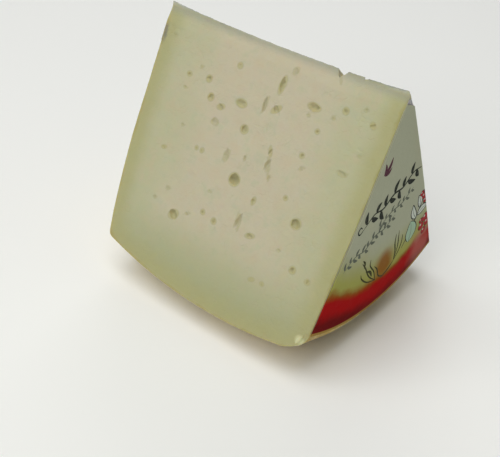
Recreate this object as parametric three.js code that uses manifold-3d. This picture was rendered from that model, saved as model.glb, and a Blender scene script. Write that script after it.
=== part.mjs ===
// A wedge cut from a small wheel of pressed goat's cheese, standing on the rind with its tip up,
// and the piece of the wheel's paper label that was cut along with it.
// Millimetres, +Z up. The origin lies on the patch of rind that the wedge stands on, straight
// below the middle of the wheel's axis. +X runs along that axis towards the labelled face, and
// -Y is the side of the front cut.

import * as THREE from "three";
import { mergeVertices } from "three/addons/utils/BufferGeometryUtils.js";
import Module from "manifold-3d";

const wasm = await Module();
wasm.setup();

// ---------- driving dimensions ----------

// The wheel: a low drum with a bulging wall and slightly domed faces.
const BELLY_RADIUS = 89.6; // at the fullest part of the wall
const BELLY_AT = 4; // how far the fullest part lies from mid-height, towards the label
const WALL_FALL = 5.3; // how much the wall's radius has dropped one half-height from the belly
const HALF_HEIGHT = 43;
const FACE_RADIUS = 80; // where the faces turn into the shoulders
const PLAIN_FACE_EDGE = 43.4; // the plain face's distance from mid-height at its edge
const PLAIN_FACE_DOME = 3.4; // how much further out it is at the wheel's axis
const LABEL_FACE_EDGE = 43.9;
const LABEL_FACE_DOME = 2.3;

// The cut: two flat knife cuts that meet on the wheel's axis.
const WEDGE_ANGLE = THREE.MathUtils.degToRad(51.7);
const TIP_WEAR = 1.9; // how far the thin tip edge has worn down at its middle
const TIP_WEAR_AT_ENDS = 0.15;
const TIP_END = 47.5; // the wear's two ends, just past the wheel's faces

// How it stands: the wall has flattened a little under the wedge's own weight.
const SETTLED = 0.6;
const AXIS_HEIGHT = BELLY_RADIUS - SETTLED; // the wheel's axis above the table

// The label: a paper disc glued to the face, cut with the cheese.
const LABEL_RADIUS = 79;
const LABEL_THICKNESS = 0.25;
const GLUE_FILM = 0.1;
const LABEL_TORN = 4.3; // how far down from the axis the label's point is torn off
const TEAR_SLANT = THREE.MathUtils.degToRad(24); // the torn line rises towards the front cut

// Fineness of the curved surfaces.
const WHEEL_SEGMENTS = 144;
const FACE_STEPS = 12;
const WALL_STEPS = 22;
const SHOULDER_STEPS = 6;

// ---------- solids from three.js geometry ----------

function solidOf(geometry) {
  const bare = geometry.clone();
  bare.deleteAttribute("normal");
  bare.deleteAttribute("uv");
  const merged = mergeVertices(bare, 1e-4);
  return new wasm.Manifold(
    new wasm.Mesh({
      numProp: 3,
      vertProperties: merged.getAttribute("position").array,
      triVerts: new Uint32Array(merged.index.array),
    }),
  );
}

function geometryOf(solid) {
  const { vertProperties, triVerts } = solid.getMesh();
  const geometry = new THREE.BufferGeometry();
  geometry.setAttribute("position", new THREE.BufferAttribute(vertProperties, 3));
  geometry.setIndex(new THREE.BufferAttribute(triVerts, 1));
  const flat = geometry.toNonIndexed();
  flat.computeVertexNormals();
  return flat;
}

// ---------- the wheel's section ----------
// A point of the section is (distance from the axis, place along the axis).

const plainFace = (r) => -(PLAIN_FACE_EDGE + PLAIN_FACE_DOME * (1 - (r / FACE_RADIUS) ** 4));
const labelFace = (r) => LABEL_FACE_EDGE + LABEL_FACE_DOME * (1 - (r / FACE_RADIUS) ** 2);
const wall = (x) => BELLY_RADIUS - WALL_FALL * ((x - BELLY_AT) / HALF_HEIGHT) ** 2;

function faceLine(face, endRadius) {
  const points = [];
  for (let i = 0; i <= FACE_STEPS; i++) {
    const r = (endRadius * i) / FACE_STEPS;
    points.push(new THREE.Vector2(r, face(r)));
  }
  return points;
}

function shoulder(faceEnd, corner, wallX) {
  const wallEnd = new THREE.Vector2(wall(wallX), wallX);
  return new THREE.QuadraticBezierCurve(faceEnd, corner, wallEnd).getPoints(SHOULDER_STEPS);
}

function wheelSection() {
  const plain = faceLine(plainFace, FACE_RADIUS + 1);
  const label = faceLine(labelFace, FACE_RADIUS - 0.5);
  // The plain side's shoulder is tight, the label side's fuller.
  const plainWallX = -40.5;
  const labelWallX = 36;
  const plainShoulder = shoulder(plain.at(-1), new THREE.Vector2(83.4, -HALF_HEIGHT), plainWallX);
  const labelShoulder = shoulder(label.at(-1), new THREE.Vector2(83.6, 43.6), labelWallX);
  const belly = [];
  for (let i = 1; i < WALL_STEPS; i++) {
    const x = THREE.MathUtils.lerp(plainWallX, labelWallX, i / WALL_STEPS);
    belly.push(new THREE.Vector2(wall(x), x));
  }
  return [
    ...plain,
    ...plainShoulder.slice(1),
    ...belly,
    ...labelShoulder.reverse(),
    ...label.slice(0, -1).reverse(),
  ];
}

// The disc of paper lies on the labelled face with a film of glue between them.
function labelSection() {
  const onFace = faceLine(labelFace, LABEL_RADIUS);
  const lift = (amount) => (p) => new THREE.Vector2(p.x, p.y + amount);
  const under = onFace.map(lift(GLUE_FILM));
  const top = onFace.map(lift(GLUE_FILM + LABEL_THICKNESS));
  return [...under, ...top.reverse()];
}

// Turns a section about the wheel's axis, and lays that axis along X above the table.
function turned(section) {
  const lathe = new THREE.LatheGeometry(section, WHEEL_SEGMENTS);
  lathe.rotateZ(-Math.PI / 2);
  lathe.translate(0, 0, AXIS_HEIGHT);
  return solidOf(lathe);
}

// ---------- what the knife and the table leave ----------

// The sector between the two knife cuts, as a prism along X that reaches past the wheel.
function sector() {
  const reach = 150;
  const half = reach * Math.tan(WEDGE_ANGLE / 2);
  const outline = new THREE.Shape();
  outline.moveTo(0, AXIS_HEIGHT);
  outline.lineTo(-half, AXIS_HEIGHT - reach);
  outline.lineTo(half, AXIS_HEIGHT - reach);
  outline.closePath();
  const prism = new THREE.ExtrudeGeometry(outline, { depth: 2 * reach, bevelEnabled: false });
  // The outline's (x, y) becomes (Y, Z), and the extrusion runs along X.
  prism.applyMatrix4(new THREE.Matrix4().set(0, 0, 1, -reach, 1, 0, 0, 0, 0, 1, 0, 0, 0, 0, 0, 1));
  return solidOf(prism);
}

// The worn tip: what lies above a shallow curve, lowest at the middle of the edge.
function wornTip() {
  const above = AXIS_HEIGHT + 10;
  const outline = new THREE.Shape();
  outline.moveTo(TIP_END, above);
  outline.lineTo(-TIP_END, above);
  outline.lineTo(-TIP_END, AXIS_HEIGHT - TIP_WEAR_AT_ENDS);
  // A quadratic's middle lies halfway to its control point.
  const control = AXIS_HEIGHT - 2 * TIP_WEAR + TIP_WEAR_AT_ENDS;
  outline.quadraticCurveTo(0, control, TIP_END, AXIS_HEIGHT - TIP_WEAR_AT_ENDS);
  outline.closePath();
  const slab = new THREE.ExtrudeGeometry(outline, { depth: 20, bevelEnabled: false, curveSegments: 16 });
  slab.rotateX(Math.PI / 2);
  slab.translate(0, 10, 0);
  return solidOf(slab);
}

// A crumb that broke out of the tip edge, and a chip off its corner at the label.
const CRUMBS = [
  { at: [22.7, 0, AXIS_HEIGHT - 1.1], size: [2.2, 6, 2.7], turn: 0.15 },
  { at: [31.2, 0, AXIS_HEIGHT - 0.6], size: [0.8, 6, 0.9], turn: 0.8 },
  { at: [47.0, 0, AXIS_HEIGHT - 0.1], size: [1.5, 6, 1.4], turn: 0.3 },
];

function crumb({ at, size, turn }) {
  const lump = new THREE.OctahedronGeometry(1, 0);
  lump.scale(...size);
  lump.rotateY(turn);
  lump.translate(...at);
  return solidOf(lump);
}

// The point of the label, which tore off with its glue: what lies above a slanting line.
function tornPoint() {
  const block = new THREE.BoxGeometry(20, 60, 40);
  block.translate(0, 0, 20);
  block.rotateX(-TEAR_SLANT);
  block.translate(LABEL_FACE_EDGE, 0, AXIS_HEIGHT - LABEL_TORN);
  return solidOf(block);
}

// The table's surface: everything under it is pressed flat.
function underTable() {
  const block = new THREE.BoxGeometry(300, 300, 50);
  block.translate(0, 0, -25);
  return solidOf(block);
}

// ---------- the eyes ----------
// Small gas holes in the paste that the knife opened. The larger ones are cut here, each as
// [place along the wheel's axis, distance down from the tip, radius, stretch down the cut].

const FRONT_EYES = [
  [-0.7, 45.8, 2.0, 1.0],
  [25.9, 49.8, 1.7, 1.0],
  [-19.1, 65.6, 1.8, 0.8],
  [-7.6, 22.5, 1.8, 0.7],
  [-3.4, 29.8, 1.3, 1.0],
  [18.0, 14.8, 2.0, 0.6],
  [4.7, 12.3, 1.1, 2.4],
  [-14.7, 26.2, 1.1, 0.8],
  [-19.7, 24.6, 1.1, 1.0],
  [-22.7, 19.4, 1.0, 1.0],
  [5.5, 20.0, 1.1, 1.4],
  [28.6, 12.3, 0.9, 1.0],
  [38.7, 13.3, 0.8, 1.2],
  [34.7, 29.8, 1.2, 0.7],
  [-6.6, 39.8, 1.0, 1.6],
  [11.8, 60.0, 1.2, 0.7],
  [-3.0, 61.2, 0.9, 1.0],
  [30.3, 63.3, 1.0, 1.0],
];
const BACK_EYES = [
  [22.0, 24.0, 1.9, 0.9],
  [-12.0, 33.5, 1.7, 1.0],
  [8.5, 52.0, 2.0, 0.8],
  [-30.0, 58.0, 1.5, 1.1],
  [31.0, 66.0, 1.4, 1.0],
  [-5.0, 71.5, 1.2, 0.8],
  [-24.0, 18.0, 1.3, 1.4],
  [2.0, 15.5, 1.1, 1.0],
  [35.0, 41.0, 1.2, 1.3],
  [-18.0, 47.0, 1.0, 1.8],
  [17.0, 38.5, 1.1, 1.0],
  [-36.0, 37.0, 0.9, 1.0],
];
const EYE_CENTRE_DEPTH = 0.25; // of its radius, behind the cut

function eye([along, down, radius, stretch], side) {
  const bubble = new THREE.IcosahedronGeometry(radius, 1);
  bubble.scale(1, 1, stretch);
  bubble.translate(0, -side * EYE_CENTRE_DEPTH * radius, -down);
  bubble.rotateX((side * WEDGE_ANGLE) / 2);
  bubble.translate(along, 0, AXIS_HEIGHT);
  return solidOf(bubble);
}

// ---------- the part ----------

const knifeCuts = sector();
const tip = wornTip();

function wedgeOfCheese() {
  let cheese = turned(wheelSection()).intersect(knifeCuts).subtract(tip).subtract(underTable());
  for (const each of CRUMBS) cheese = cheese.subtract(crumb(each));
  for (const each of FRONT_EYES) cheese = cheese.subtract(eye(each, -1));
  for (const each of BACK_EYES) cheese = cheese.subtract(eye(each, 1));
  const paste = new THREE.MeshStandardMaterial({ color: 0xe9dfb8, roughness: 0.5, metalness: 0 });
  const mesh = new THREE.Mesh(geometryOf(cheese), paste);
  mesh.name = "cheese_wedge";
  return mesh;
}

function paperLabel() {
  const label = turned(labelSection()).intersect(knifeCuts).subtract(tornPoint());
  const paper = new THREE.MeshStandardMaterial({ color: 0xf1efe6, roughness: 0.6, metalness: 0 });
  const mesh = new THREE.Mesh(geometryOf(label), paper);
  mesh.name = "paper_label";
  return mesh;
}

const cheeseWedge = new THREE.Group();
cheeseWedge.add(wedgeOfCheese(), paperLabel());

export default cheeseWedge;
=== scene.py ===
import math
import random

import bpy
import numpy as np
from mathutils import Matrix, Vector


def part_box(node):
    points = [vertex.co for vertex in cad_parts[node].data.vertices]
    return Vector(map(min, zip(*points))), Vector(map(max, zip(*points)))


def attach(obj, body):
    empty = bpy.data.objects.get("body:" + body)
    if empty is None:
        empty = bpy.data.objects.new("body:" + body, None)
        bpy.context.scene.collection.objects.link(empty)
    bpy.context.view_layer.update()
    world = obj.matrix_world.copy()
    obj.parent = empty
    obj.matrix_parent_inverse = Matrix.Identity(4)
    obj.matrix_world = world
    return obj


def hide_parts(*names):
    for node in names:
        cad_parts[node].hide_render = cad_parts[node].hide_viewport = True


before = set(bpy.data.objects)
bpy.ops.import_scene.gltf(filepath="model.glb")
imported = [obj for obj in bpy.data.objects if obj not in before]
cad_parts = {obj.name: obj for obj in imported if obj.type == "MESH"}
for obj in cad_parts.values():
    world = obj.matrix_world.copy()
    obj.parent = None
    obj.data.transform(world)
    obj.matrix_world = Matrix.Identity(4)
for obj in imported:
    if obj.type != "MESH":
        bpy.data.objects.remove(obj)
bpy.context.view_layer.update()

# ---------- the camera ----------
# It looks down on the front cut and the labelled end from the wedge's right, and leans a little.

MM = 0.001  # the script's lengths are in millimetres

CAMERA_TARGET = Vector((17.26, -33.05, 44.0)) * MM
CAMERA_DISTANCE = 286.8 * MM
CAMERA_AZIMUTH = math.radians(38.0)
CAMERA_ELEVATION = math.radians(34.65)
CAMERA_ROLL = math.radians(3.62)

camera_data = bpy.data.cameras.new("camera")
camera_data.sensor_width = 36.0
camera_data.lens = 68.28
camera_data.clip_start = 0.01
camera = bpy.data.objects.new("camera", camera_data)
bpy.context.scene.collection.objects.link(camera)
towards_camera = Vector((
    math.sin(CAMERA_AZIMUTH) * math.cos(CAMERA_ELEVATION),
    -math.cos(CAMERA_AZIMUTH) * math.cos(CAMERA_ELEVATION),
    math.sin(CAMERA_ELEVATION),
))
camera.rotation_euler = (
    towards_camera.to_track_quat("Z", "Y") @ Matrix.Rotation(CAMERA_ROLL, 3, "Z").to_quaternion()
).to_euler()
camera.location = CAMERA_TARGET + CAMERA_DISTANCE * towards_camera
bpy.context.scene.camera = camera

# ---------- the wedge: a sector of the wheel ----------
# Pressed goat's cheese, cut from a small wheel by two knife cuts that meet on the wheel's axis.
# It stands on the wheel's bulging wall, which its weight has flattened a little. One end is
# the wheel's plain face, the other the face under the label.

BELLY_RADIUS = 89.6
BELLY_AT = 4.0  # along the wheel's axis, from its middle
WALL_FALL = 5.3
HALF_HEIGHT = 43.0
FACE_RADIUS = 80.0
PLAIN_EDGE, PLAIN_DOME = 43.4, 3.4  # where each end face lies at its edge, and how far it domes
LABEL_EDGE, LABEL_DOME = 43.9, 2.3
PLAIN_FACE_END, WALL_START = 81.0, -40.5  # a rounded shoulder runs from one to the other
LABEL_FACE_END, WALL_END = 79.5, 36.0
WEDGE_ANGLE = math.radians(51.7)
HALF_ANGLE = WEDGE_ANGLE / 2
SETTLED = 0.6
AXIS_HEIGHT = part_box("cheese_wedge")[0].z / MM + BELLY_RADIUS - SETTLED
TIP_WEAR = 1.9
TIP_WEAR_AT_ENDS = 0.15
TIP_WEAR_END = 47.5
LABEL_RADIUS = 79.0
CELLS_ALONG = 104
CELLS_DOWN = 98
TURNS = 30

FRONT = Vector((0, -math.cos(HALF_ANGLE), math.sin(HALF_ANGLE)))  # the front cut's normal
BACK = Vector((0, math.cos(HALF_ANGLE), math.sin(HALF_ANGLE)))


def plain_face(r):
    return -(PLAIN_EDGE + PLAIN_DOME * (1 - (r / FACE_RADIUS) ** 4))


def label_face(r):
    return LABEL_EDGE + LABEL_DOME * (1 - (r / FACE_RADIUS) ** 2)


def wall(x):
    return BELLY_RADIUS - WALL_FALL * ((x - BELLY_AT) / HALF_HEIGHT) ** 2


def worn_tip(x):
    """How far down the cut from the wheel's axis the worn tip lies."""
    wear = TIP_WEAR_AT_ENDS + (TIP_WEAR - TIP_WEAR_AT_ENDS) * (1 - (x / TIP_WEAR_END) ** 2)
    return wear / math.cos(HALF_ANGLE)


def rounded(start, corner, end, part):
    """A stretch of a shoulder, as points along a quadratic curve."""
    t = np.linspace(*part, 12)[:, None]
    start, corner, end = (np.array(p) for p in (start, corner, end))
    return (1 - t) ** 2 * start + 2 * t * (1 - t) * corner + t**2 * end


def evenly(points, count):
    """The same line again with count + 1 points evenly along it."""
    points = np.array(points)
    far = np.concatenate([[0], np.cumsum(np.linalg.norm(np.diff(points, axis=0), axis=1))])
    at = np.linspace(0, far[-1], count + 1)
    return np.stack([np.interp(at, far, points[:, k]) for k in (0, 1)], axis=1)


# The section's four sides, each a line of (along the axis, down from the axis).
plain_shoulder = ((plain_face(PLAIN_FACE_END), PLAIN_FACE_END), (-HALF_HEIGHT, 83.4),
                  (WALL_START, wall(WALL_START)))
label_shoulder = ((label_face(LABEL_FACE_END), LABEL_FACE_END), (43.6, 83.6),
                  (WALL_END, wall(WALL_END)))
plain_tip, label_tip = worn_tip(plain_face(0)), worn_tip(label_face(0))
tip_side = [(x, worn_tip(x)) for x in np.linspace(plain_face(0), label_face(0), 60)]
plain_side = [(plain_face(r), r) for r in np.linspace(plain_tip, PLAIN_FACE_END, 40)]
plain_side += rounded(*plain_shoulder, (0, 0.5)).tolist()
label_side = [(label_face(r), r) for r in np.linspace(label_tip, LABEL_FACE_END, 40)]
label_side += rounded(*label_shoulder, (0, 0.5)).tolist()
wall_side = rounded(*plain_shoulder, (0.5, 1)).tolist()
wall_side += [(x, wall(x)) for x in np.linspace(WALL_START, WALL_END, 60)]
wall_side += rounded(*label_shoulder, (1, 0.5)).tolist()

bpy.ops.object.select_all(action="DESELECT")
bpy.ops.mesh.primitive_grid_add(x_subdivisions=CELLS_ALONG, y_subdivisions=CELLS_DOWN, size=1)
cheese = bpy.context.object
cheese.name = "cheese"


def places(mesh):
    co = np.empty(len(mesh.vertices) * 3)
    mesh.vertices.foreach_get("co", co)
    return co.reshape(-1, 3)


def move_to(mesh, co):
    mesh.vertices.foreach_set("co", np.ascontiguousarray(co, dtype=np.float32).ravel())
    mesh.update()


# The grid is stretched between the four sides, in the plane of the front cut.
grid = places(cheese.data)
column = np.rint((grid[:, 0] + 0.5) * CELLS_ALONG).astype(int)
row = np.rint((0.5 - grid[:, 1]) * CELLS_DOWN).astype(int)
u = (column / CELLS_ALONG)[:, None]
v = (row / CELLS_DOWN)[:, None]
tip_line, wall_line = evenly(tip_side, CELLS_ALONG), evenly(wall_side, CELLS_ALONG)
plain_line, label_line = evenly(plain_side, CELLS_DOWN), evenly(label_side, CELLS_DOWN)
section = (1 - v) * tip_line[column] + v * wall_line[column]
section += (1 - u) * plain_line[row] + u * label_line[row]
section -= (1 - v) * ((1 - u) * tip_line[0] + u * tip_line[-1])
section -= v * ((1 - u) * wall_line[0] + u * wall_line[-1])
along, down = section.T
on_front = np.stack([
    along, -down * math.sin(HALF_ANGLE), AXIS_HEIGHT - down * math.cos(HALF_ANGLE)], axis=1)
move_to(cheese.data, on_front * MM)

# Spun about the wheel's axis, the section sweeps out the wedge between its two cuts.
bpy.ops.object.mode_set(mode="EDIT")
bpy.ops.mesh.select_all(action="SELECT")
bpy.ops.mesh.spin(steps=TURNS, angle=-WEDGE_ANGLE, center=(0, 0, AXIS_HEIGHT * MM), axis=(1, 0, 0))
bpy.ops.mesh.select_all(action="SELECT")
bpy.ops.mesh.remove_doubles(threshold=0.0005 * MM)
bpy.ops.mesh.normals_make_consistent(inside=False)
bpy.ops.object.mode_set(mode="OBJECT")


def from_axis(co):
    """Each point's distance from the wheel's axis, in millimetres."""
    return np.hypot(co[:, 1], co[:, 2] - AXIS_HEIGHT * MM) / MM


def select(mesh, faces=None, edges=None, points=None):
    """Selects only these faces, edges or points, each given as a list of true and false."""
    for kind, wanted in (("vertices", points), ("edges", edges), ("polygons", faces)):
        parts = getattr(mesh, kind)
        chosen = np.zeros(len(parts), bool) if wanted is None else np.asarray(wanted)
        parts.foreach_set("select", chosen)


def face_facts(mesh):
    """Each face's centre and normal."""
    centre = np.empty(len(mesh.polygons) * 3)
    normal = np.empty(len(mesh.polygons) * 3)
    mesh.polygons.foreach_get("center", centre)
    mesh.polygons.foreach_get("normal", normal)
    return centre.reshape(-1, 3), normal.reshape(-1, 3)


# The skin gets its own material now, while the cuts can still be told by their normals.
PASTE, RIND = 0, 1
IN_THE_CUT = 0.999  # a face's normal agrees this well with its cut's
TIP_OF_PASTE = 3.0
centre, normal = face_facts(cheese.data)
on_cuts = np.maximum(normal @ FRONT, normal @ BACK) > IN_THE_CUT
at_tip = from_axis(centre) < TIP_OF_PASTE
cheese.data.materials.append(bpy.data.materials.new("paste"))
cheese.data.materials.append(bpy.data.materials.new("rind"))
cheese.data.polygons.foreach_set("material_index", np.where(on_cuts | at_tip, PASTE, RIND))

# The knife's corner between the cuts and the rind is not quite sharp, except near the tip and
# under the label.
CORNER_ROUND = 0.3
ROUND_FROM = 14.0  # from the wheel's axis
ends = np.empty(len(cheese.data.edges) * 2, int)
cheese.data.edges.foreach_get("vertices", ends)
ends = ends.reshape(-1, 2)
faces_at_edge = {}
for face in cheese.data.polygons:
    for key in face.edge_keys:
        faces_at_edge.setdefault(key, []).append(face.material_index)
corner = [len(set(faces_at_edge[edge.key])) == 2 for edge in cheese.data.edges]
co = places(cheese.data)
edge_radius = from_axis(co)[ends].mean(axis=1)
under_label = (co[ends, 0].mean(axis=1) > 43.5 * MM) & (edge_radius < LABEL_RADIUS - 1)
to_round = np.array(corner) & (edge_radius > ROUND_FROM) & ~under_label
bpy.context.tool_settings.mesh_select_mode = (False, True, False)
select(cheese.data, edges=to_round)
bpy.ops.object.mode_set(mode="EDIT")
bpy.ops.mesh.bevel(offset=CORNER_ROUND * MM, segments=2, affect="EDGES")
bpy.ops.object.mode_set(mode="OBJECT")

# ---------- the eyes: where they lie ----------
# Gas holes that formed in the paste and that the knife opened. The larger are round or slit,
# with a smooth yellowish lining, and the smaller are pinholes and dents between the curds.
# Each is (along the axis, down the cut, radius, stretch across its length, turn in degrees).

FRONT_EYES = [
    (-0.7, 45.8, 2.0, 1.0, 0), (25.9, 49.8, 1.7, 0.9, 20), (-19.1, 65.6, 2.0, 0.7, 35),
    (-7.6, 22.5, 1.9, 0.65, 0), (-3.4, 29.8, 1.3, 1.0, 0), (18.0, 14.8, 2.1, 0.55, 0),
    (4.7, 12.3, 2.7, 0.38, 85), (-14.7, 26.2, 1.3, 0.65, 25), (-19.7, 24.6, 1.1, 1.0, 0),
    (-22.7, 19.4, 1.0, 1.0, 0), (5.5, 20.0, 1.8, 0.5, 40), (28.6, 12.3, 0.9, 1.0, 0),
    (38.7, 13.3, 0.9, 0.8, -40), (-3.0, 61.2, 0.9, 1.0, 0), (30.3, 63.3, 1.0, 1.0, 0),
    (36.5, 64.5, 0.8, 0.9, 0), (11.8, 60.0, 1.5, 0.5, 20), (-12.7, 11.7, 0.8, 1.0, 0),
    (-16.3, 41.8, 0.7, 0.8, 60), (-18.7, 41.8, 0.5, 1.0, 0), (-30.9, 20.4, 0.8, 0.8, 0),
    (-31.6, 46.3, 0.8, 0.6, 15), (8.6, 32.7, 1.4, 0.4, -70), (19.7, 29.8, 0.7, 1.0, 0),
    (8.8, 49.3, 1.1, 0.6, 80), (-8.2, 60.2, 0.7, 1.0, 0), (17.6, 72.4, 0.9, 0.6, 20),
    (21.8, 72.0, 0.6, 0.8, 0), (19.4, 43.9, 0.6, 1.0, 0), (21.9, 21.2, 0.6, 1.0, 0),
]
FRONT_DENTS = [
    (34.7, 29.8, 1.9, 0.5, 5), (-6.6, 39.8, 2.4, 0.5, 80), (-15.1, 31.4, 1.6, 0.8, 0),
    (5.9, 57.5, 3.2, 0.35, -75), (1.0, 20.0, 3.0, 0.3, 80), (9.2, 37.0, 2.6, 0.4, -75),
    (-27.0, 36.8, 0.9, 0.7, 0), (35.0, 9.8, 1.0, 0.7, 0), (-8.2, 52.9, 0.9, 0.7, 20),
    (-28.7, 63.3, 1.0, 0.7, 30), (-24.7, 58.3, 1.1, 0.7, 0), (7.6, 6.8, 1.5, 0.7, 60),
    (25.5, 15.6, 0.9, 0.8, 0), (23.4, 59.8, 0.9, 0.7, 30), (38.0, 23.0, 0.8, 0.7, 20),
    (-27.0, 16.8, 0.9, 0.6, 0), (-14.0, 63.2, 1.4, 0.4, 30), (17.0, 17.7, 0.9, 0.6, 0),
    (-41.5, 10.3, 1.0, 0.6, -20), (42.6, 79.8, 1.2, 0.6, 70), (0.4, 38.0, 1.1, 0.5, 80),
    (11.0, 40.5, 1.3, 0.45, -70), (21.0, 33.5, 1.2, 0.5, 30), (-31.0, 25.0, 1.0, 0.6, 0),
    (23.4, 4.6, 1.3, 0.4, -62),
]
BACK_EYES = [
    (22.0, 24.0, 1.9, 0.9, 10), (-12.0, 33.5, 1.7, 1.0, 0), (8.5, 52.0, 2.0, 0.8, -20),
    (-30.0, 58.0, 1.6, 0.9, 80), (31.0, 66.0, 1.4, 1.0, 0), (-5.0, 71.5, 1.2, 0.8, 15),
    (-24.0, 18.0, 1.8, 0.6, 70), (2.0, 15.5, 1.1, 1.0, 0), (35.0, 41.0, 1.4, 0.7, 60),
    (-18.0, 47.0, 1.9, 0.5, 85), (17.0, 38.5, 1.1, 1.0, 0), (-36.0, 37.0, 0.9, 1.0, 0),
    (14.0, 62.5, 0.9, 0.8, 40), (-8.5, 55.0, 0.8, 1.0, 0), (27.0, 53.0, 0.9, 0.7, -30),
    (-20.0, 68.0, 0.9, 0.8, 0), (10.0, 29.0, 0.7, 1.0, 0), (-33.0, 24.5, 0.7, 1.0, 0),
]
BACK_DENTS = [
    (0.0, 43.0, 2.6, 0.4, 75), (28.0, 33.0, 1.8, 0.5, 10), (-26.0, 40.0, 1.6, 0.6, -30),
    (20.0, 75.0, 1.2, 0.6, 20), (-4.0, 25.0, 2.2, 0.4, 60), (-13.0, 62.0, 1.5, 0.5, 20),
]
# How much of its radius each kind's centre lies behind the cut, or in front of it if negative.
DEEP_SINK = -0.05
SHALLOW_SINK = -0.3
DENT_SINK = -0.6
DEEP_SIZE = 1.35  # eyes rounder and larger than this are deep
SIDES = ((-1, FRONT), (1, BACK))

# Pinholes are scattered over both cuts, clear of the larger eyes and of each other.
PINHOLES = 70
PINHOLE_RADIUS = (0.15, 0.42)
PINHOLE_GAP = 0.6
scatter = random.Random(51)


def pinholes(taken):
    holes = []
    while len(holes) < PINHOLES:
        x, s = scatter.uniform(-43, 43), scatter.uniform(4, 85)
        smallest, largest = PINHOLE_RADIUS
        size = smallest + scatter.random() ** 2 * (largest - smallest)
        hole = (x, s, size, scatter.uniform(0.55, 1), scatter.uniform(0, 180))
        on_paste = s < wall(x) - 2
        if on_paste and all(math.hypot(x - o[0], s - o[1]) > size + o[2] + PINHOLE_GAP
                            for o in taken + holes):
            holes.append(hole)
    return holes


eyes_by_cut = {
    -1: (FRONT_EYES, FRONT_DENTS, pinholes(FRONT_EYES + FRONT_DENTS)),
    1: (BACK_EYES, BACK_DENTS, pinholes(BACK_EYES + BACK_DENTS)),
}


def on_cut(side, x, s, depth=0.0):
    """A point on the front (-1) or back (1) cut, or that far behind it, in metres."""
    normal = BACK if side > 0 else FRONT
    down_the_cut = Vector((0, side * math.sin(HALF_ANGLE), -math.cos(HALF_ANGLE)))
    return (Vector((x, 0, AXIS_HEIGHT)) + s * down_the_cut - depth * normal) * MM


REACH = 9.0


def away_from(holes, co, side):
    """How far each point is outside the nearest hole of a cut, in millimetres, up to REACH."""
    s = (AXIS_HEIGHT * MM - co[:, 2]) / MM * math.cos(HALF_ANGLE)
    s += side * co[:, 1] / MM * math.sin(HALF_ANGLE)
    behind = -(co - np.array(on_cut(side, 0, 0))) @ np.array(BACK if side > 0 else FRONT) / MM
    clear = np.full(len(co), REACH)
    for x, down, radius, stretch, turn in holes:
        dx, ds = co[:, 0] / MM - x, s - down
        c, sn = math.cos(math.radians(turn)), math.sin(math.radians(turn))
        a, b = (c * dx - sn * ds) / radius, (sn * dx + c * ds) / (radius * stretch)
        gap = (np.hypot(a, b) - 1) * radius * math.sqrt(stretch)
        clear = np.where(behind < 2.5 * radius + 0.1, np.minimum(clear, gap), clear)
    return clear


# The mesh is finer along the tip and round the larger eyes, where there is more to shape: twice
# as fine within the first pair of distances from the axis and from an eye, then again.
FINER_WITHIN = ((7.0, 0.9), (3.6, -0.2))
bpy.context.tool_settings.mesh_select_mode = (False, False, True)
for tip_zone, eye_zone in FINER_WITHIN:
    centre, normal = face_facts(cheese.data)
    near = from_axis(centre) < tip_zone
    for side, facing in SIDES:
        eyes = eyes_by_cut[side][0]
        near |= (normal @ facing > IN_THE_CUT) & (away_from(eyes, centre, side) < eye_zone)
    material = np.empty(len(cheese.data.polygons), int)
    cheese.data.polygons.foreach_get("material_index", material)
    select(cheese.data, faces=near & (material == PASTE))
    bpy.ops.object.mode_set(mode="EDIT")
    bpy.ops.mesh.subdivide(number_cuts=1, quadcorner="INNERVERT")
    bpy.ops.object.mode_set(mode="OBJECT")


# The knife drags a little on the paste, the tip has crumbled, and the rind is uneven.
def weight_group(name, weights):
    group = cheese.vertex_groups.new(name=name)
    for index in np.flatnonzero(weights > 0.01):
        group.add([int(index)], float(weights[index]), "REPLACE")
    return name


def roughen(name, weights, grain, depth, direction="NORMAL"):
    """Wears the skin back, up to that depth, in clouds of that grain, in millimetres."""
    texture = bpy.data.textures.new(name, "CLOUDS")
    texture.noise_scale = grain * MM
    texture.noise_depth = 3
    rough = cheese.modifiers.new(name, "DISPLACE")
    rough.texture = texture
    rough.texture_coords = "LOCAL"
    rough.vertex_group = weight_group(name, weights)
    rough.strength = depth * MM
    rough.mid_level = 1.0
    rough.direction = direction
    bpy.ops.object.modifier_apply(modifier=name)


def skin_points():
    """Which points of the mesh belong to the rind's faces."""
    found = np.zeros(len(cheese.data.vertices), bool)
    for face in cheese.data.polygons:
        if face.material_index == RIND:
            found[list(face.vertices)] = True
    return found


# The cuts round over near the tip, which leaves a ridge thinner than the sector's own.
TIP_PINCH = 0.8
PINCH_WITHIN = 7.0
RIDGE_RADIUS, RIDGE_END = 3.4, 42.0
co = places(cheese.data)
radius = from_axis(co)
near_tip = np.clip((PINCH_WITHIN - radius) / 6.0, 0, 1)
co[:, 1] *= 1 - TIP_PINCH * near_tip**1.5
move_to(cheese.data, co)
select(cheese.data, points=(radius < RIDGE_RADIUS) & (np.abs(co[:, 0]) < RIDGE_END * MM))
bpy.context.tool_settings.mesh_select_mode = (True, False, False)
bpy.ops.object.mode_set(mode="EDIT")
bpy.ops.mesh.vertices_smooth(factor=0.5, repeat=6)
bpy.ops.object.mode_set(mode="OBJECT")
co = places(cheese.data)

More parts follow.
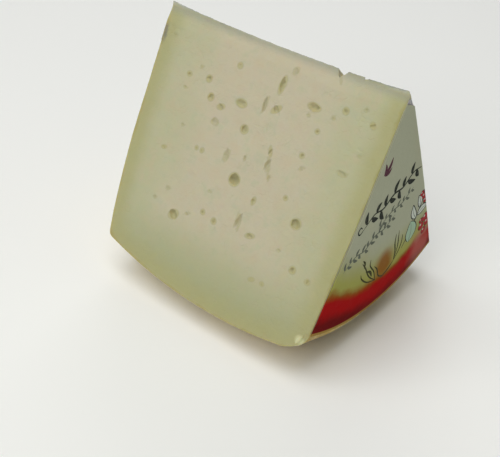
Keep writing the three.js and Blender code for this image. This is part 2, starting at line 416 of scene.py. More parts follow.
radius = from_axis(co)
on_rind = skin_points()
behind_cuts = np.min([-(co - np.array(on_cut(side, 0, 0))) @ np.array(facing) / MM
                      for side, facing in SIDES], axis=0)
rind_weight = on_rind * np.clip((co[:, 2] / MM - 0.4) / 4, 0, 1)
rind_weight *= 0.35 + 0.65 * np.clip(behind_cuts / 4, 0, 1)
short_of_ends = np.clip((46 - np.abs(co[:, 0]) / MM) / 3, 0.3, 1)
paste_weight = np.where(on_rind, 0.0, 1.0) * np.clip(radius / 10, 0, 1)
roughen("knife_drag", paste_weight, 9.0, 0.35)
roughen("rind_swell", rind_weight * np.clip((radius - 10) / 12, 0, 1), 11.0, 0.7)
roughen("rind_grain", rind_weight * np.clip((radius - 6) / 6, 0, 1), 2.2, 0.2)
roughen("crumbled_tip", np.clip((3.5 - radius) / 2.5, 0, 1) * short_of_ends, 1.8, 0.55, "Z")
roughen("tip_grain", np.clip((5 - radius) / 4, 0, 1) * short_of_ends, 0.8, 0.14)

# Its own weight has pressed the rind flat on the table, and its plain face is worn, not swollen.
co = places(cheese.data)
co[:, 2] = np.maximum(co[:, 2], 0.0)
co[:, 0] = np.maximum(co[:, 0], plain_face(0) * MM)
move_to(cheese.data, co)

# ---------- the eyes: the bubbles that cut them ----------
# Each is a slightly lumpy bubble, partly behind the cut. Crumbs are cut out in the same way: two
# have broken out of the tip, and one off its corner at the label.


def lump(place, size, turn, fineness, normal):
    """A bubble at place, size along its own three axes, its third axis along normal."""
    bpy.ops.mesh.primitive_ico_sphere_add(subdivisions=fineness, radius=1)
    bubble = bpy.context.object
    facing = normal.to_track_quat("Z", "Y").to_matrix().to_4x4()
    spin = Matrix.Rotation(turn, 4, "Z")
    bubble.data.transform(Matrix.Translation(place) @ facing @ spin @ Matrix.Diagonal((*size, 1)))
    return bubble


def shape_with(bubbles, piece, name, grain, depth, operation="DIFFERENCE"):
    """Joins the bubbles, makes them lumpy, and cuts them out of the piece or adds them to it."""
    bpy.ops.object.select_all(action="DESELECT")
    for bubble in bubbles:
        bubble.select_set(True)
    bpy.context.view_layer.objects.active = bubbles[0]
    bpy.ops.object.join()
    cutter = bpy.context.object
    texture = bpy.data.textures.new(name, "CLOUDS")
    texture.noise_scale = grain * MM
    lumpy = cutter.modifiers.new(name, "DISPLACE")
    lumpy.texture = texture
    lumpy.texture_coords = "LOCAL"
    lumpy.strength = depth * MM
    bpy.ops.object.modifier_apply(modifier=name)
    bpy.context.view_layer.objects.active = piece
    cut = piece.modifiers.new(name, "BOOLEAN")
    cut.operation = operation
    cut.solver = "MANIFOLD"
    cut.object = cutter
    bpy.ops.object.modifier_apply(modifier=name)
    bpy.data.objects.remove(cutter)


def eye_bubbles(side, holes, shallow, deep_from=math.inf):
    """A bubble for each hole of a cut, sunk as a shallow one unless it is as large as deep_from."""
    normal = BACK if side > 0 else FRONT
    bubbles = []
    for x, s, size, stretch, turn in holes:
        fineness = 3 if size > 0.9 else 2 if size > 0.45 else 1
        sink = DEEP_SINK if size * stretch > deep_from else shallow
        wide = size / math.sqrt(1 - sink**2)
        deep = wide * max(stretch, 0.6)
        bubbles.append(lump(
            on_cut(side, x, s, sink * deep), (wide * MM, wide * stretch * MM, deep * MM),
            math.radians(turn) * side, fineness, normal))
    return bubbles


CRUMBS = [  # each at a place, with its size and its turn
    ((22.7, 0, AXIS_HEIGHT - 1.2), (2.3, 8.0, 3.2), 0.15),
    ((31.2, 0, AXIS_HEIGHT - 1.15), (0.7, 6.0, 1.25), 0.8),
    ((46.8, 0, AXIS_HEIGHT - 0.2), (1.7, 6.0, 1.7), 0.3),
]


def crumb_lumps():
    """Eight-sided lumps, which leave the flat faces that a crumb breaks off with."""
    lumps = []
    for place, size, turn in CRUMBS:
        bpy.ops.mesh.primitive_ico_sphere_add(subdivisions=4, radius=1)
        crumb = bpy.context.object
        ball = places(crumb.data)
        move_to(crumb.data, ball / np.abs(ball).sum(axis=1)[:, None])
        crumb.data.transform(
            Matrix.Translation(Vector(place) * MM) @ Matrix.Rotation(turn, 4, "Y")
            @ Matrix.Diagonal((*[k * MM for k in size], 1)))
        lumps.append(crumb)
    return lumps


shape_with(crumb_lumps(), cheese, "crumbs", 0.8, 0.4)
for side in (-1, 1):
    eyes, dents, pinpricks = eyes_by_cut[side]
    shape_with(eye_bubbles(side, eyes, SHALLOW_SINK, DEEP_SIZE), cheese, "eyes", 1.0, 0.8)
    shape_with(eye_bubbles(side, dents, DENT_SINK), cheese, "dents", 1.1, 0.5)
    shape_with(eye_bubbles(side, pinpricks, SHALLOW_SINK), cheese, "pinholes", 0.5, 0.1)

# A flake of paste stands up at the cut's lower corner, by the label.
FLAKE = (41.0, 81.9)
flake = lump(on_cut(-1, *FLAKE, 0.1), (0.7 * MM, 1.9 * MM, 0.7 * MM), math.radians(-25), 3, FRONT)
shape_with([flake], cheese, "flake", 0.7, 0.9, "UNION")

SMOOTH_UNDER = math.radians(38)  # sharper edges than this stay sharp
bpy.ops.object.select_all(action="DESELECT")
cheese.select_set(True)
bpy.context.view_layer.objects.active = cheese
bpy.ops.object.shade_smooth_by_angle(angle=SMOOTH_UNDER)

# How near each point is to an eye: 1 inside one, falling to 0 a little way outside. A dent
# counts for less. The paste's colour uses it to paint shade into the dents and round the eyes.
EYE_HALO = 0.8  # how far outside
DENT_HALO = 0.4
DENT_SHARE = 0.62
co = places(cheese.data)
halo = np.zeros(len(co))
for side in (-1, 1):
    eyes, dents, _ = eyes_by_cut[side]
    near_eye = 1 - np.clip(away_from(eyes, co, side) / EYE_HALO, 0, 1)
    near_dent = 1 - np.clip(away_from(dents, co, side) / DENT_HALO, 0, 1)
    halo = np.maximum(halo, np.maximum(near_eye, DENT_SHARE * near_dent))
eye_halo = cheese.data.attributes.new("eye_halo", "FLOAT", "POINT")
eye_halo.data.foreach_set("value", halo.astype(np.float32))

# ---------- the paste and the rind: their finish ----------
# The paste is ivory, pinkish at its heart and yellow-green near the rind, moist and a little
# translucent, with faint curd grains and knife marks. The rind is a dry ochre skin with the
# print of the mould's cloth.


def node(tree, kind, inputs=None, **settings):
    """Adds a shader node. An input is a number, a colour or the output that feeds it."""
    made = tree.nodes.new("ShaderNode" + kind)
    for name, value in settings.items():
        setattr(made, name, value)
    for key, value in (inputs or {}).items():
        if isinstance(value, bpy.types.NodeSocket):
            tree.links.new(value, made.inputs[key])
        else:
            made.inputs[key].default_value = value
    return made


def calc(tree, operation, *values):
    return node(tree, "Math", dict(enumerate(values)), operation=operation).outputs[0]


def ramp(tree, value, low, high, to_low=0.0, to_high=1.0):
    """A soft step from one number to another as value goes from low to high."""
    return node(tree, "MapRange", {
        "Value": value, "From Min": low, "From Max": high, "To Min": to_low, "To Max": to_high,
    }, interpolation_type="SMOOTHSTEP").outputs["Result"]


def blend(tree, amount, a, b, kind="MIX"):
    mixed = node(tree, "Mix", data_type="RGBA", blend_type=kind)
    for socket, value in ((mixed.inputs[0], amount), (mixed.inputs[6], a), (mixed.inputs[7], b)):
        if isinstance(value, bpy.types.NodeSocket):
            tree.links.new(value, socket)
        else:
            socket.default_value = value
    return mixed.outputs[2]


def colour(red, green, blue):
    """A colour as it looks on a screen, from 0 to 255, as the light it stands for."""
    def light(part):
        part /= 255
        return part / 12.92 if part <= 0.04045 else ((part + 0.055) / 1.055) ** 2.4
    return (light(red), light(green), light(blue), 1.0)


def wheel_place(tree):
    """Places in millimetres with the wheel's axis as X: the point, its X and its radius."""
    place = node(tree, "Mapping", {
        0: node(tree, "TexCoord").outputs["Object"],
        "Location": (0, 0, -AXIS_HEIGHT), "Scale": (1 / MM,) * 3,
    }).outputs[0]
    across = node(tree, "VectorMath", {0: place, 1: (0, 1, 1)}, operation="MULTIPLY").outputs[0]
    radius = node(tree, "VectorMath", {0: across}, operation="LENGTH").outputs["Value"]
    return place, node(tree, "SeparateXYZ", {0: place}).outputs, radius


def noise(tree, place, scale, detail=2.0, stretch=None, rough=0.5):
    """Clouds from 0 to 1, about that many to a millimetre, drawn out where stretch is small."""
    if stretch:
        place = node(tree, "VectorMath", {0: place, 1: stretch}, operation="MULTIPLY").outputs[0]
    return node(tree, "TexNoise", {
        "Vector": place, "Scale": scale, "Detail": detail, "Roughness": rough}).outputs[0]


def under_the_rind(tree, axes, radius):
    """How deep a point lies under the nearest part of the wheel's skin, in millimetres."""
    share = calc(tree, "DIVIDE", radius, FACE_RADIUS)
    plain = calc(tree, "MULTIPLY_ADD", calc(tree, "POWER", share, 4.0),
                 -PLAIN_DOME, PLAIN_EDGE + PLAIN_DOME)
    plain = calc(tree, "ADD", plain, axes[0])
    label = calc(tree, "MULTIPLY_ADD", calc(tree, "POWER", share, 2.0),
                 -LABEL_DOME, LABEL_EDGE + LABEL_DOME)
    label = calc(tree, "SUBTRACT", label, axes[0])
    off_belly = calc(tree, "DIVIDE", calc(tree, "SUBTRACT", axes[0], BELLY_AT), HALF_HEIGHT)
    belly = calc(tree, "MULTIPLY_ADD", calc(tree, "POWER", off_belly, 2.0),
                 -WALL_FALL, BELLY_RADIUS)
    belly = calc(tree, "SUBTRACT", belly, radius)
    return calc(tree, "SMOOTH_MIN", calc(tree, "SMOOTH_MIN", plain, label, 4.0), belly, 7.0)


def finish_of(name):
    """The material's node tree, emptied, with its surface shader and its output."""
    material = bpy.data.materials.get(name) or bpy.data.materials.new(name)
    material.use_nodes = True
    tree = material.node_tree
    tree.nodes.clear()
    surface = node(tree, "BsdfPrincipled")
    tree.links.new(surface.outputs[0], node(tree, "OutputMaterial").inputs[0])
    return tree, surface


def bump(tree, height, distance, under=None):
    """Relief that many millimetres high, over what lies under it."""
    made = node(tree, "Bump", {"Height": height, "Distance": distance * MM, "Strength": 1.0})
    if under:
        tree.links.new(under, made.inputs["Normal"])
    return made.outputs[0]


MOULD = colour(112, 112, 108)
mould_at = on_cut(-1, -46.4, 11) / MM - Vector((0, 0, AXIS_HEIGHT))


def mould_spot(tree, place):
    """A smudge of grey mould on the edge between the front cut and the plain face."""
    away = node(tree, "VectorMath", {0: place, 1: mould_at}, operation="SUBTRACT").outputs[0]
    away = node(tree, "VectorMath", {0: away, 1: (1.6, 0.7, 0.7)}, operation="MULTIPLY").outputs[0]
    away = node(tree, "VectorMath", {0: away}, operation="LENGTH").outputs["Value"]
    ragged = calc(tree, "MULTIPLY_ADD", noise(tree, place, 0.9, 3, rough=0.7), 3.0, -1.5)
    return ramp(tree, calc(tree, "ADD", away, ragged), 3.0, 1.0, 0.0, 0.6)


HEART = colour(198, 190, 164)  # the middle of the paste
CURD = colour(187, 186, 151)
GREEN_CLOUD = colour(181, 186, 154)
PINK_CLOUD = colour(199, 183, 156)
NEAR_RIND = colour(175, 172, 124)
UNDER_RIND = colour(166, 158, 100)
FOOT_TONE_AND_SHADE = colour(169, 171, 132)  # the greener paste low down, darkened there too as painted shade
SEAM = colour(176, 164, 120)  # between two curds
SPECK = colour(170, 160, 116)
RIDGE = colour(160, 163, 146)  # greyer and darker towards the tip
LINING = colour(182, 174, 118)  # the skin inside an eye
DENT_SHADE = colour(162, 158, 128)
FLAKE_PASTE_AND_HIGHLIGHT = colour(218, 218, 174)

tree, paste = finish_of("paste")
place, axes, radius = wheel_place(tree)
depth = under_the_rind(tree, axes, radius)
waver = calc(tree, "MULTIPLY_ADD", noise(tree, place, 0.16, 3), 3.0, -1.5)
depth = calc(tree, "ADD", depth, waver)
clouds = noise(tree, place, 0.055, 3)
patches = noise(tree, place, 0.22, 4, rough=0.6)
heart = calc(tree, "MULTIPLY_ADD", clouds, 30.0, calc(tree, "SUBTRACT", depth, 15.0))
body = blend(tree, ramp(tree, heart, 4.0, 32.0), CURD, HEART)
body = blend(tree, ramp(tree, patches, 0.5, 0.7, 0, 0.45), body, GREEN_CLOUD)
body = blend(tree, ramp(tree, patches, 0.5, 0.32, 0, 0.35), body, PINK_CLOUD)
# Low on each cut: the paste's own greener tone, and painted shade that darkens it.
body = blend(tree, ramp(tree, radius, 62, 86, 0, 0.9), body, FOOT_TONE_AND_SHADE)
body = blend(tree, ramp(tree, depth, 10.0, 2.0, 0, 0.85), body, NEAR_RIND)
body = blend(tree, ramp(tree, depth, 1.2, 0.1, 0, 0.7), body, UNDER_RIND)
stirred = node(tree, "TexNoise", {"Vector": place, "Scale": 0.8}).outputs[1]
curds = node(tree, "TexVoronoi", {
    "Vector": blend(tree, 0.12, place, stirred, "LINEAR_LIGHT"),
    "Scale": 0.42}, feature="DISTANCE_TO_EDGE").outputs[0]
seams = ramp(tree, curds, 0.10, 0.0)
seams = calc(tree, "MULTIPLY", seams, ramp(tree, noise(tree, place, 0.3, 2), 0.5, 0.68))
specks = ramp(tree, noise(tree, place, 1.9, 3, rough=0.7), 0.62, 0.74)
body = blend(tree, calc(tree, "MULTIPLY", seams, 0.10), body, SEAM)
body = blend(tree, calc(tree, "MULTIPLY", specks, 0.12), body, SPECK)
body = blend(tree, ramp(tree, radius, 5.0, 1.6, 0, 0.75), body, RIDGE)
halo = node(tree, "Attribute", attribute_name="eye_halo").outputs["Fac"]
# Painted shade: the dents and a ring round each eye are darkened and greyed.
body = blend(tree, ramp(tree, halo, 0.1, DENT_SHARE, 0, 0.35), body, DENT_SHADE)
body = blend(tree, ramp(tree, halo, 0.3, 1.0, 0, 0.55), body, LINING)
body = blend(tree, mould_spot(tree, place), body, MOULD)
# Round the flake the paste is paler: partly fresh paste, partly a painted highlight.
flake_at = on_cut(-1, *FLAKE) / MM - Vector((0, 0, AXIS_HEIGHT))
to_flake = node(tree, "VectorMath", {0: place, 1: flake_at}, operation="DISTANCE").outputs["Value"]
body = blend(tree, ramp(tree, to_flake, 2.2, 0.8, 0, 0.8), body, FLAKE_PASTE_AND_HIGHLIGHT)
tree.links.new(body, paste.inputs["Base Color"])
grain = noise(tree, place, 2.4, 5, rough=0.65)
drag = noise(tree, place, 1.0, 3, stretch=(0.06, 1.3, 1.3))
lumps = noise(tree, place, 0.35, 3)
relief = bump(tree, lumps, 0.35)
relief = bump(tree, drag, 0.05, under=relief)
relief = bump(tree, grain, 0.10, under=relief)
pits = calc(tree, "MULTIPLY", calc(tree, "ADD", seams, specks), -1.0)
relief = bump(tree, pits, 0.06, under=relief)
tree.links.new(relief, paste.inputs["Normal"])
moist = ramp(tree, calc(tree, "ADD", grain, patches), 0.7, 1.3, 0.42, 0.66)
tree.links.new(moist, paste.inputs["Roughness"])
paste.inputs["Subsurface Weight"].default_value = 0.55
paste.inputs["Subsurface Radius"].default_value = (3.0 * MM, 2.0 * MM, 0.9 * MM)
paste.inputs["Subsurface Scale"].default_value = 1.0
paste.inputs["Specular IOR Level"].default_value = 0.4
paste.inputs["IOR"].default_value = 1.45

OCHRE = colour(196, 168, 96)
PALE_OCHRE = colour(214, 196, 134)
DARK_OCHRE = colour(150, 118, 60)
PALE_SPOT = colour(226, 218, 180)
BARE_RIND = colour(206, 205, 206)  # where the label came away
CLOTH_PITCH = 1.3
THREADS = 2 * math.pi / CLOTH_PITCH

tree, rind = finish_of("rind")
place, axes, radius = wheel_place(tree)
below_axis = calc(tree, "MULTIPLY", axes[2], -1.0)
around = calc(tree, "MULTIPLY", calc(tree, "ARCTAN2", axes[1], below_axis), BELLY_RADIUS)
normal_x = node(tree, "SeparateXYZ", {0: node(tree, "NewGeometry").outputs["Normal"]}).outputs[0]
on_end = ramp(tree, calc(tree, "ABSOLUTE", normal_x), 0.6, 0.85)
wander = calc(tree, "MULTIPLY_ADD", noise(tree, place, 0.12, 2), 3.0, -1.5)
warp = node(tree, "Mix", {0: on_end, 2: axes[0], 3: axes[2]}).outputs[0]
weft = node(tree, "Mix", {0: on_end, 2: around, 3: axes[1]}).outputs[0]
warp = calc(tree, "SINE", calc(tree, "MULTIPLY", calc(tree, "ADD", warp, wander), THREADS))
weft = calc(tree, "SINE", calc(tree, "MULTIPLY", calc(tree, "SUBTRACT", weft, wander), THREADS))
cloth = calc(tree, "MULTIPLY", warp, weft)
printed = ramp(tree, noise(tree, place, 0.08, 2), 0.35, 0.6, 0.25, 1.0)
cloth = calc(tree, "MULTIPLY", cloth, printed)
stains = noise(tree, place, 0.07, 4, rough=0.6)
mould = noise(tree, place, 0.5, 5, rough=0.7)
skin = blend(tree, ramp(tree, stains, 0.36, 0.64), PALE_OCHRE, OCHRE)
skin = blend(tree, ramp(tree, mould, 0.52, 0.75, 0, 0.6), skin, DARK_OCHRE)
skin = blend(tree, ramp(tree, cloth, 0.1, -0.9, 0, 0.35), skin, DARK_OCHRE)
skin = blend(tree, ramp(tree, noise(tree, place, 1.6, 2), 0.66, 0.75, 0, 0.7), skin, PALE_SPOT)
behind_label = calc(tree, "MULTIPLY", ramp(tree, radius, LABEL_RADIUS, LABEL_RADIUS - 1),
                    ramp(tree, axes[0], 43.0, 43.6))
skin = blend(tree, mould_spot(tree, place), skin, MOULD)
skin = blend(tree, behind_label, skin, BARE_RIND)
tree.links.new(skin, rind.inputs["Base Color"])
relief = bump(tree, cloth, 0.12)
relief = bump(tree, mould, 0.35, under=relief)
relief = bump(tree, noise(tree, place, 3.2, 3), 0.08, under=relief)
tree.links.new(relief, rind.inputs["Normal"])
tree.links.new(ramp(tree, mould, 0.3, 0.7, 0.5, 0.75), rind.inputs["Roughness"])
rind.inputs["Subsurface Weight"].default_value = 0.25
rind.inputs["Subsurface Radius"].default_value = (1.5 * MM, 0.9 * MM, 0.4 * MM)
rind.inputs["Subsurface Scale"].default_value = 1.0
rind.inputs["Specular IOR Level"].default_value = 0.35

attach(cheese, "root")
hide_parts("cheese_wedge")

# ---------- the label ----------
# The sector of the wheel's paper label that was cut with the cheese: thin paper, glued to the
# end face, a little uneven over it. It is printed with a soft band of colour along the rim,
# from yellow to red.

GLUE_FILM = 0.1
PAPER = 0.24
SWELL = 0.09
RINGS_OUT = 90
CELLS_ACROSS = 60


def paper_front(across, down):
    """Where the printed side lies along the wheel's axis: the glue has left it in low swells."""
    r = np.hypot(across, down)
    swells = np.sin(across * 0.55 + 1.3 * np.sin(down * 0.21)) * np.sin(down * 0.38 + across * 0.12)
    swells = np.clip(swells, 0, 1) * np.clip((r - 22) / 12, 0, 1) * np.clip((78 - r) / 6, 0, 1)
    return label_face(r) + GLUE_FILM + PAPER + SWELL * swells


bpy.ops.object.select_all(action="DESELECT")
bpy.ops.mesh.primitive_grid_add(x_subdivisions=CELLS_ACROSS, y_subdivisions=RINGS_OUT, size=1)
label = bpy.context.object
label.name = "label"
grid = places(label.data)
turn = (grid[:, 0] * 2) * HALF_ANGLE
r = label_tip + (0.5 - grid[:, 1]) * (LABEL_RADIUS - label_tip)
across, down = r * np.sin(turn), r * np.cos(turn)
move_to(label.data, np.stack([paper_front(across, down), across, AXIS_HEIGHT - down], axis=1) * MM)
bpy.ops.object.mode_set(mode="EDIT")
bpy.ops.mesh.select_all(action="SELECT")
bpy.ops.mesh.extrude_region_move(TRANSFORM_OT_translate={"value": (-PAPER * MM, 0, 0)})
bpy.ops.mesh.select_all(action="SELECT")
bpy.ops.mesh.normals_make_consistent(inside=False)
bpy.ops.object.mode_set(mode="OBJECT")
label.data.materials.append(bpy.data.materials.new("label_print"))

# Its point has torn off, along a ragged slanting line.
LABEL_TORN = 4.3
TEAR_SLANT = math.radians(24)
TORN_BLOCK = (20.0, 60.0, 30.0)  # large enough to take away all above the line
bpy.ops.mesh.primitive_cube_add(size=1)
torn = bpy.context.object
torn.data.transform(
    Matrix.Translation((label_face(0) * MM, 0, (AXIS_HEIGHT - LABEL_TORN) * MM))
    @ Matrix.Rotation(-TEAR_SLANT, 4, "X")
    @ Matrix.Diagonal((*[k * MM for k in TORN_BLOCK], 1))
    @ Matrix.Translation((0, 0, 0.5)))
bpy.ops.object.mode_set(mode="EDIT")
bpy.ops.mesh.select_all(action="SELECT")
bpy.ops.mesh.subdivide(number_cuts=60)
bpy.ops.object.mode_set(mode="OBJECT")
shape_with([torn], label, "torn_point", 0.9, 0.8)

# The print: white paper, greyed as painted shade, a glow that turns from yellow to red towards
# the rim, a bare margin.
PAPER_IN_PAINTED_SHADE = colour(191, 194, 167)
FIBRE = colour(120, 118, 104)
STAIN = colour(190, 184, 146)
YELLOW = colour(174, 174, 80)
ORANGE = colour(150, 84, 14)
RED = colour(180, 7, 10)
DEEP_RED = colour(116, 5, 8)
PINK = colour(190, 128, 114)
BARE_MARGIN = colour(176, 142, 72)
CUT_EDGE_PAINTED_SHADE = colour(96, 84, 56)

tree, print_finish = finish_of("label_print")
place, axes, radius = wheel_place(tree)
soft = calc(tree, "MULTIPLY_ADD", noise(tree, place, 0.11, 3), 6.0, -3.0)
edge = calc(tree, "ADD", radius, soft)
edge = calc(tree, "ADD", edge, ramp(tree, axes[1], 0.0, -26.0, 0.0, 2.5))
fibres = noise(tree, place, 3.0, 4, rough=0.7)
paper = blend(tree, ramp(tree, fibres, 0.35, 0.75, 0.0, 0.10), PAPER_IN_PAINTED_SHADE, FIBRE)
stain = ramp(tree, noise(tree, place, 0.06, 3), 0.5, 0.75, 0.0, 0.25)
paper = blend(tree, stain, paper, STAIN)
paper = blend(tree, ramp(tree, edge, 51.0, 66.0, 0.0, 0.9), paper, YELLOW)


def spot(at, size, strength):
    """A soft round patch of colour on the paper, at (across, down)."""
    across, down = at
    away = node(tree, "VectorMath", {0: place, 1: (0, across, -down)}, operation="SUBTRACT").outputs[0]
    away = node(tree, "VectorMath", {0: away, 1: (0, 1, 1)}, operation="MULTIPLY").outputs[0]
    away = node(tree, "VectorMath", {0: away}, operation="LENGTH").outputs["Value"]
    return ramp(tree, calc(tree, "ADD", away, soft), size, size * 0.25, 0.0, strength)


paper = blend(tree, spot((2, 63), 8.0, 0.85), paper, ORANGE)
paper = blend(tree, ramp(tree, edge, 65.5, 69.0), paper, ORANGE)
paper = blend(tree, spot((26, 66), 10.0, 0.85), paper, PINK)
paper = blend(tree, ramp(tree, edge, 67.5, 70.5), paper, RED)
paper = blend(tree, ramp(tree, edge, 73.0, 78.5), paper, DEEP_RED)
paper = blend(tree, spot((26, 69.5), 9.5, 0.5), paper, PINK)
paper = blend(tree, ramp(tree, radius, 78.0, 78.15), paper, BARE_MARGIN)
# Painted shade: the paper's cut edges are darkened.
face_x = node(tree, "SeparateXYZ", {0: node(tree, "NewGeometry").outputs["Normal"]}).outputs[0]
cut_edge = ramp(tree, calc(tree, "ABSOLUTE", face_x), 0.8, 0.4)
paper = blend(tree, calc(tree, "MULTIPLY", cut_edge, 0.4), paper, CUT_EDGE_PAINTED_SHADE)
tree.links.new(paper, print_finish.inputs["Base Color"])
relief = bump(tree, noise(tree, place, 0.5, 2), 0.12)
relief = bump(tree, fibres, 0.02, under=relief)
tree.links.new(relief, print_finish.inputs["Normal"])
tree.links.new(ramp(tree, fibres, 0.3, 0.7, 0.55, 0.7), print_finish.inputs["Roughness"])
print_finish.inputs["Specular IOR Level"].default_value = 0.03

# ---------- the drawing on the label ----------
# A pen drawing printed on the paper: a leafy vine and a finer one under it, a few grass blades,
# and a sprig with leaves and berries. Each line and leaf is a film of ink that follows the paper.

INK_LIFT = 0.015  # of each film over the one below it
inks = {
    "ink_black": colour(38, 42, 36), "ink_grey": colour(104, 110, 96),
    "ink_olive": colour(60, 60, 28), "ink_leaf": colour(176, 204, 176),
    "ink_pale": colour(220, 226, 214), "ink_red": colour(184, 34, 44),
    "ink_plum": colour(92, 44, 62),
}
ink_points, ink_faces, ink_of_face = [], [], []


def flowing(points, steps=10):
    """A smooth line through the points."""
    points = [np.array(p, float) for p in points]
    points = [2 * points[0] - points[1], *points, 2 * points[-1] - points[-2]]
    line = []
    for a, b, c, d in zip(points, points[1:], points[2:], points[3:]):
        for t in np.linspace(0, 1, steps, endpoint=False):
            line.append(0.5 * (2 * b + (c - a) * t + (2 * a - 5 * b + 4 * c - d) * t**2
                               + (3 * b - a - 3 * c + d) * t**3))
    return np.array(line + [points[-2]])


def inked(line, half_widths, ink, layer=0, cells=2):
    """A ribbon of ink along the line, that wide at each of its points."""
    ahead = np.gradient(line, axis=0)
    ahead /= np.linalg.norm(ahead, axis=1)[:, None]
    sideways = np.stack([-ahead[:, 1], ahead[:, 0]], axis=1)
    start = len(ink_points)
    for point, side, half in zip(line, sideways, half_widths):
        for k in range(cells + 1):
            a, d = point + side * half * (2 * k / cells - 1)
            x = paper_front(a, d) + INK_LIFT * (layer + 1)
            ink_points.append((x * MM, a * MM, (AXIS_HEIGHT - d) * MM))
    for i in range(len(line) - 1):
        for k in range(cells):
            first = start + i * (cells + 1) + k
            ink_faces.append((first, first + 1, first + cells + 2, first + cells + 1))
            ink_of_face.append(list(inks).index(ink))


def stroke(points, width, ink):
    """A pen stroke that swells in its middle."""
    line = flowing(points)
    t = np.linspace(0, 1, len(line))
    inked(line, width / 2 * (0.3 + 0.7 * np.sin(math.pi * t) ** 0.6), ink)


def leaf(base, tip, width, fill=None, ink="ink_black", bend=0.15):
    """A leaf with a bent midrib: solid ink, or a fill with an inked outline and rib."""
    base, tip = np.array(base, float), np.array(tip, float)
    ahead = tip - base
    side = np.array([-ahead[1], ahead[0]])
    line = flowing([base, base + 0.5 * ahead + bend * side, tip], 8)
    t = np.linspace(0, 1, len(line))
    half = width / 2 * np.sin(math.pi * t**0.85) ** 0.8
    inked(line, half + 0.02, ink, 0, 4)
    if fill:
        inked(line, np.maximum(half - 0.4, 0.0), fill, 1, 4)
        inked(line, 0.13 * (1 - 0.8 * t), ink, 2, 1)


def berry(at, radius):
    """A red berry with a black outline and a pale glint."""
    for size, ink, layer, shift in ((radius, "ink_black", 0, 0), (radius - 0.25, "ink_red", 1, 0),
                                    (radius * 0.25, "ink_pale", 2, radius * 0.35)):
        t = np.linspace(-1, 1, 15)
        line = np.stack([at[0] - shift + t * size, np.full(15, at[1] - shift)], axis=1)
        inked(line, size * np.sqrt(np.maximum(1 - t**2, 0)), ink, layer, 4)


def vine(points, leaf_size, width, ink, gap):
    """A stem with leaves on alternate sides, one at each gap along it."""
    stroke(points, width, ink)
    line = flowing(points)
    far = np.concatenate([[0], np.cumsum(np.linalg.norm(np.diff(line, axis=0), axis=1))])
    for k, at in enumerate(np.arange(gap * 0.6, far[-1] - gap * 0.3, gap)):
        here = np.array([np.interp(at, far, line[:, i]) for i in (0, 1)])
        next_ = np.array([np.interp(at + 0.5, far, line[:, i]) for i in (0, 1)])
        ahead = (next_ - here) / np.linalg.norm(next_ - here)
        side = np.array([-ahead[1], ahead[0]]) * (1 if k % 2 else -1)
        tip = here + leaf_size * (0.55 * ahead + 0.83 * side) * (1 - 0.25 * ((k * 7) % 3) / 2)
        leaf(here, tip, leaf_size * 0.36, ink=ink, bend=0.12 if k % 2 else -0.12)


vine([(-14.5, 40.5), (-10, 37.5), (-5, 37.6), (0, 34.6), (5, 34.4), (10, 31.2), (14.5, 31.0)],
     5.0, 0.75, "ink_black", 2.5)
stroke([(-14.5, 40.5), (-16.6, 41.8), (-17.6, 40.4), (-16.6, 39.2), (-15.6, 40.0)], 0.6, "ink_black")
vine([(-22.5, 53.0), (-17, 50.0), (-12, 49.8), (-7, 46.8), (-2, 46.4), (3, 43.8)],
     3.1, 0.5, "ink_grey", 1.5)
vine([(-6, 44.8), (0, 41.6), (6, 40.8), (12, 37.6)], 2.7, 0.45, "ink_grey", 1.6)
for base, tip, width in (((-8.6, 24.6), (-4.6, 19.6), 1.5), ((-8.2, 24.4), (-8.2, 20.6), 1.2),
                         ((-8.0, 24.8), (-4.4, 23.2), 1.2)):
    leaf(base, tip, width, ink="ink_plum")

# Grass blades left and right of the glow's brightest patch.
for blade, width in ((((-1.5, 67.4), (-6.0, 63.6), (-9.2, 58.6), (-11.6, 55.4)), 0.6),
                     (((-1.5, 67.4), (-3.6, 62.8), (-6.6, 58.8), (-7.0, 56.2)), 0.6),
                     (((-1.5, 67.4), (-6.8, 65.4), (-10.4, 62.2), (-11.4, 60.0)), 0.6),
                     (((3.0, 68.2), (0.2, 66.6), (-1.6, 63.0), (-3.8, 60.6)), 0.6),
                     (((8.6, 64.8), (8.2, 60.8), (7.2, 57.2), (6.8, 53.2)), 0.7),
                     (((8.6, 64.8), (9.2, 60.4), (9.0, 56.8), (8.4, 52.6)), 0.6),
                     (((8.6, 64.8), (10.8, 61.8), (11.6, 58.8), (11.2, 55.6)), 0.7),
                     (((8.6, 64.8), (6.4, 66.6), (4.0, 67.8), (1.8, 68.4)), 0.8)):
    stroke(blade, width, "ink_olive")
leaf((-4.4, 64.4), (-8.8, 60.2), 1.0, ink="ink_olive")
leaf((-10.0, 58.2), (-11.6, 54.2), 0.9, ink="ink_olive")

# The sprig: a stem that arches up the right-hand side, three leaves and two bunches of berries.
stroke([(12.5, 62.0), (15.5, 57.5), (18.5, 52.0), (20.5, 46.5), (20.0, 42.0)], 0.7, "ink_black")
leaf((16.6, 61.6), (15.2, 52.4), 6.6, "ink_leaf", bend=0.1)
leaf((18.6, 52.8), (14.6, 45.6), 3.2, "ink_pale", bend=-0.1)
leaf((18.8, 51.8), (25.0, 50.0), 3.6, "ink_pale", bend=-0.12)
leaf((19.6, 49.0), (17.0, 43.2), 3.0, "ink_pale", bend=0.1)
for at, size in (((19.2, 43.4), 1.3), ((21.0, 45.0), 1.5), ((21.4, 42.6), 1.2), ((22.4, 47.2), 1.3),
                 ((25.4, 55.6), 2.0), ((27.4, 58.4), 1.7), ((23.8, 58.6), 1.8), ((26.2, 61.4), 1.5),
                 ((22.6, 55.8), 1.2)):
    berry(at, size)

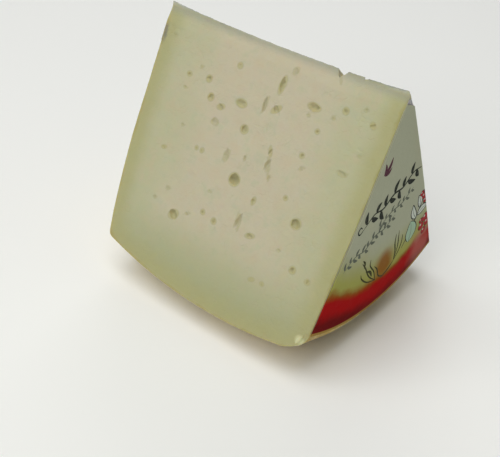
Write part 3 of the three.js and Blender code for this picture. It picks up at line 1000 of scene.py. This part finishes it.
drawing = bpy.data.objects.new("drawing", bpy.data.meshes.new("drawing"))
bpy.context.scene.collection.objects.link(drawing)
drawing.data.from_pydata(ink_points, [], ink_faces)
for name, tint in inks.items():
    tree, ink_finish = finish_of(name)
    wear = noise(tree, wheel_place(tree)[0], 2.2, 4, rough=0.7)
    worn = blend(tree, ramp(tree, wear, 0.5, 0.8, 0.0, 0.35), tint, PAPER_IN_PAINTED_SHADE)
    tree.links.new(worn, ink_finish.inputs["Base Color"])
    tree.links.new(ramp(tree, wear, 0.3, 0.7, 0.55, 0.7), ink_finish.inputs["Roughness"])
    ink_finish.inputs["Specular IOR Level"].default_value = 0.08
    drawing.data.materials.append(bpy.data.materials[name])
drawing.data.polygons.foreach_set("material_index", ink_of_face)
drawing.data.update()
bpy.ops.object.select_all(action="DESELECT")
drawing.select_set(True)
bpy.context.view_layer.objects.active = drawing
bpy.ops.object.mode_set(mode="EDIT")
bpy.ops.mesh.select_all(action="SELECT")
bpy.ops.mesh.remove_doubles(threshold=0.001 * MM)
for side, facing in SIDES:  # the knife went through the print too
    bpy.ops.mesh.select_all(action="SELECT")
    bpy.ops.mesh.bisect(plane_co=on_cut(side, 0, 0, 0.05), plane_no=facing, clear_outer=True)
bpy.ops.object.mode_set(mode="OBJECT")
_, normal = face_facts(drawing.data)
select(drawing.data, faces=normal[:, 0] < 0)
bpy.ops.object.mode_set(mode="EDIT")
bpy.ops.mesh.flip_normals()
bpy.ops.object.mode_set(mode="OBJECT")

label.select_set(True)
bpy.context.view_layer.objects.active = label
bpy.ops.object.join()
bpy.ops.object.shade_smooth_by_angle(angle=SMOOTH_UNDER)

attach(label, "root")
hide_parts("paper_label")

# ---------- the floor and the light ----------
# A plain pale floor, a broad soft lamp overhead, a smaller one in front and a weak one behind.

FLOOR_GAP = 0.02  # the floor lies this little under the wedge
MIDDLE = Vector((0, 0, 45)) * MM  # of the wedge
bpy.ops.mesh.primitive_plane_add(size=6, location=(0, 0, -FLOOR_GAP * MM))
floor = bpy.context.object
floor.name = "floor"
tree, ground = finish_of("floor")
ground.inputs["Base Color"].default_value = colour(250, 250, 247)
ground.inputs["Roughness"].default_value = 0.8
floor.data.materials.append(bpy.data.materials["floor"])


def lamp(name, direction, distance, size, power, tint):
    """A square area lamp that far off in that direction, facing the wedge, in metres."""
    light = bpy.data.lights.new(name, "AREA")
    light.size = size
    light.energy = power
    light.color = tint
    held = bpy.data.objects.new(name, light)
    bpy.context.scene.collection.objects.link(held)
    towards = Vector(direction).normalized()
    held.location = MIDDLE + distance * towards
    held.rotation_euler = towards.to_track_quat("Z", "Y").to_euler()


lamp("overhead", (-0.1, -0.25, 1), 1.3, 1.14, 11.0, (1.0, 1.0, 0.98))
lamp("front", (0.12, -0.8, 0.62), 1.35, 0.68, 5.4, (1.0, 0.99, 0.95))
lamp("behind", (-0.5, 0.8, 0.5), 1.5, 0.9, 4.4, (1.0, 1.0, 1.0))

room = bpy.data.worlds.new("room")
bpy.context.scene.world = room
room.use_nodes = True
room.node_tree.nodes["Background"].inputs[0].default_value = (0.9, 0.95, 1.0, 1.0)
room.node_tree.nodes["Background"].inputs[1].default_value = 0.14
bpy.context.scene.view_settings.view_transform = "Standard"
